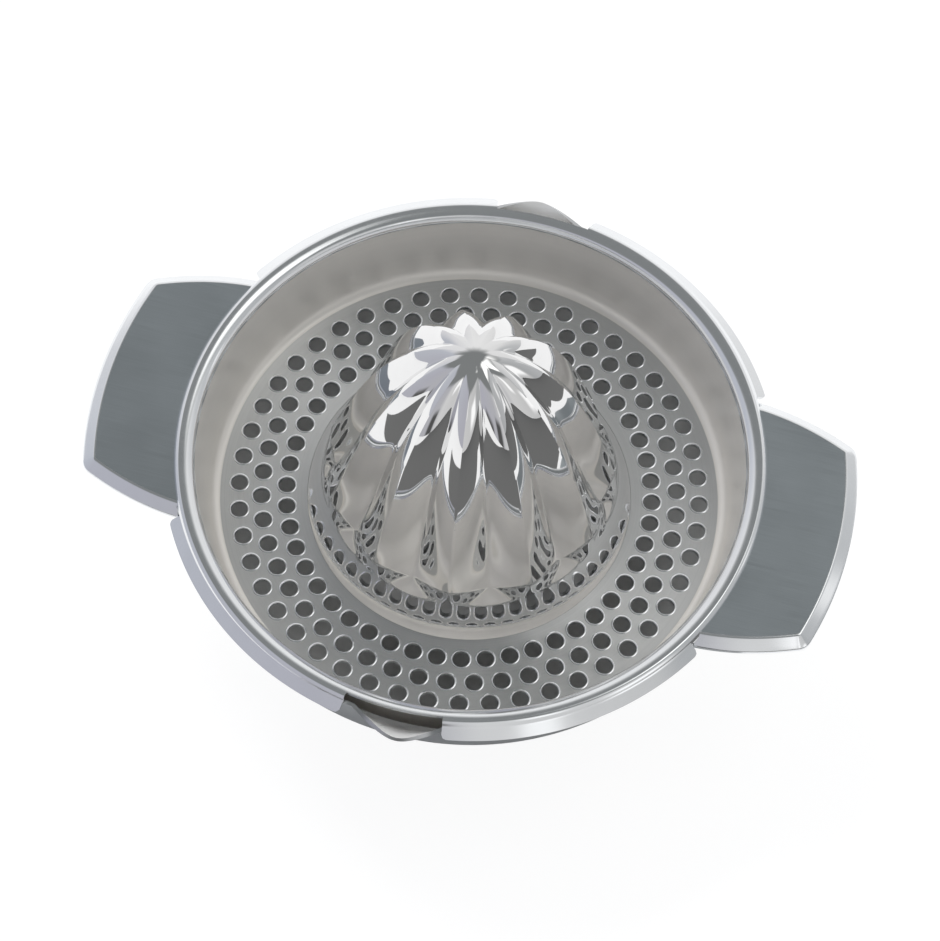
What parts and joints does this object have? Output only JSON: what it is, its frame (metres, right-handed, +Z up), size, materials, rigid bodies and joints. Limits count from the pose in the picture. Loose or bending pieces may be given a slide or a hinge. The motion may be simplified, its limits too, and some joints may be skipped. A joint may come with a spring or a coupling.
{
  "type": "hand citrus juicer",
  "caption": "Stainless-steel hand citrus juicer: perforated strainer dish with a fluted reamer cone and two handle tabs, lifting off a juice bowl with two pouring lips.",
  "frame": {"origin": "centre of the bowl's base, on the surface that it stands on", "axes": "+Z up along the axis of the bowl and the reamer; +X through one handle tab; +Y through the notch over one pouring lip"},
  "size_m": [0.1588, 0.1288, 0.0852],
  "materials": {
    "bowl_steel": "polished",
    "dish_steel": "satin brushed, with a polished rim",
    "cone_steel": "mirror polished"
  },
  "bodies": {
    "bowl": {"juice_bowl": "bowl_steel"},
    "strainer": {"strainer_dish": "dish_steel", "reamer_cone": "cone_steel"}
  },
  "joints": [
    {"name": "strainer_lift", "type": "slide", "parent": "bowl", "child": "strainer", "axis": [0, 0, 1], "range_m": [0, 0.06]}
  ]
}
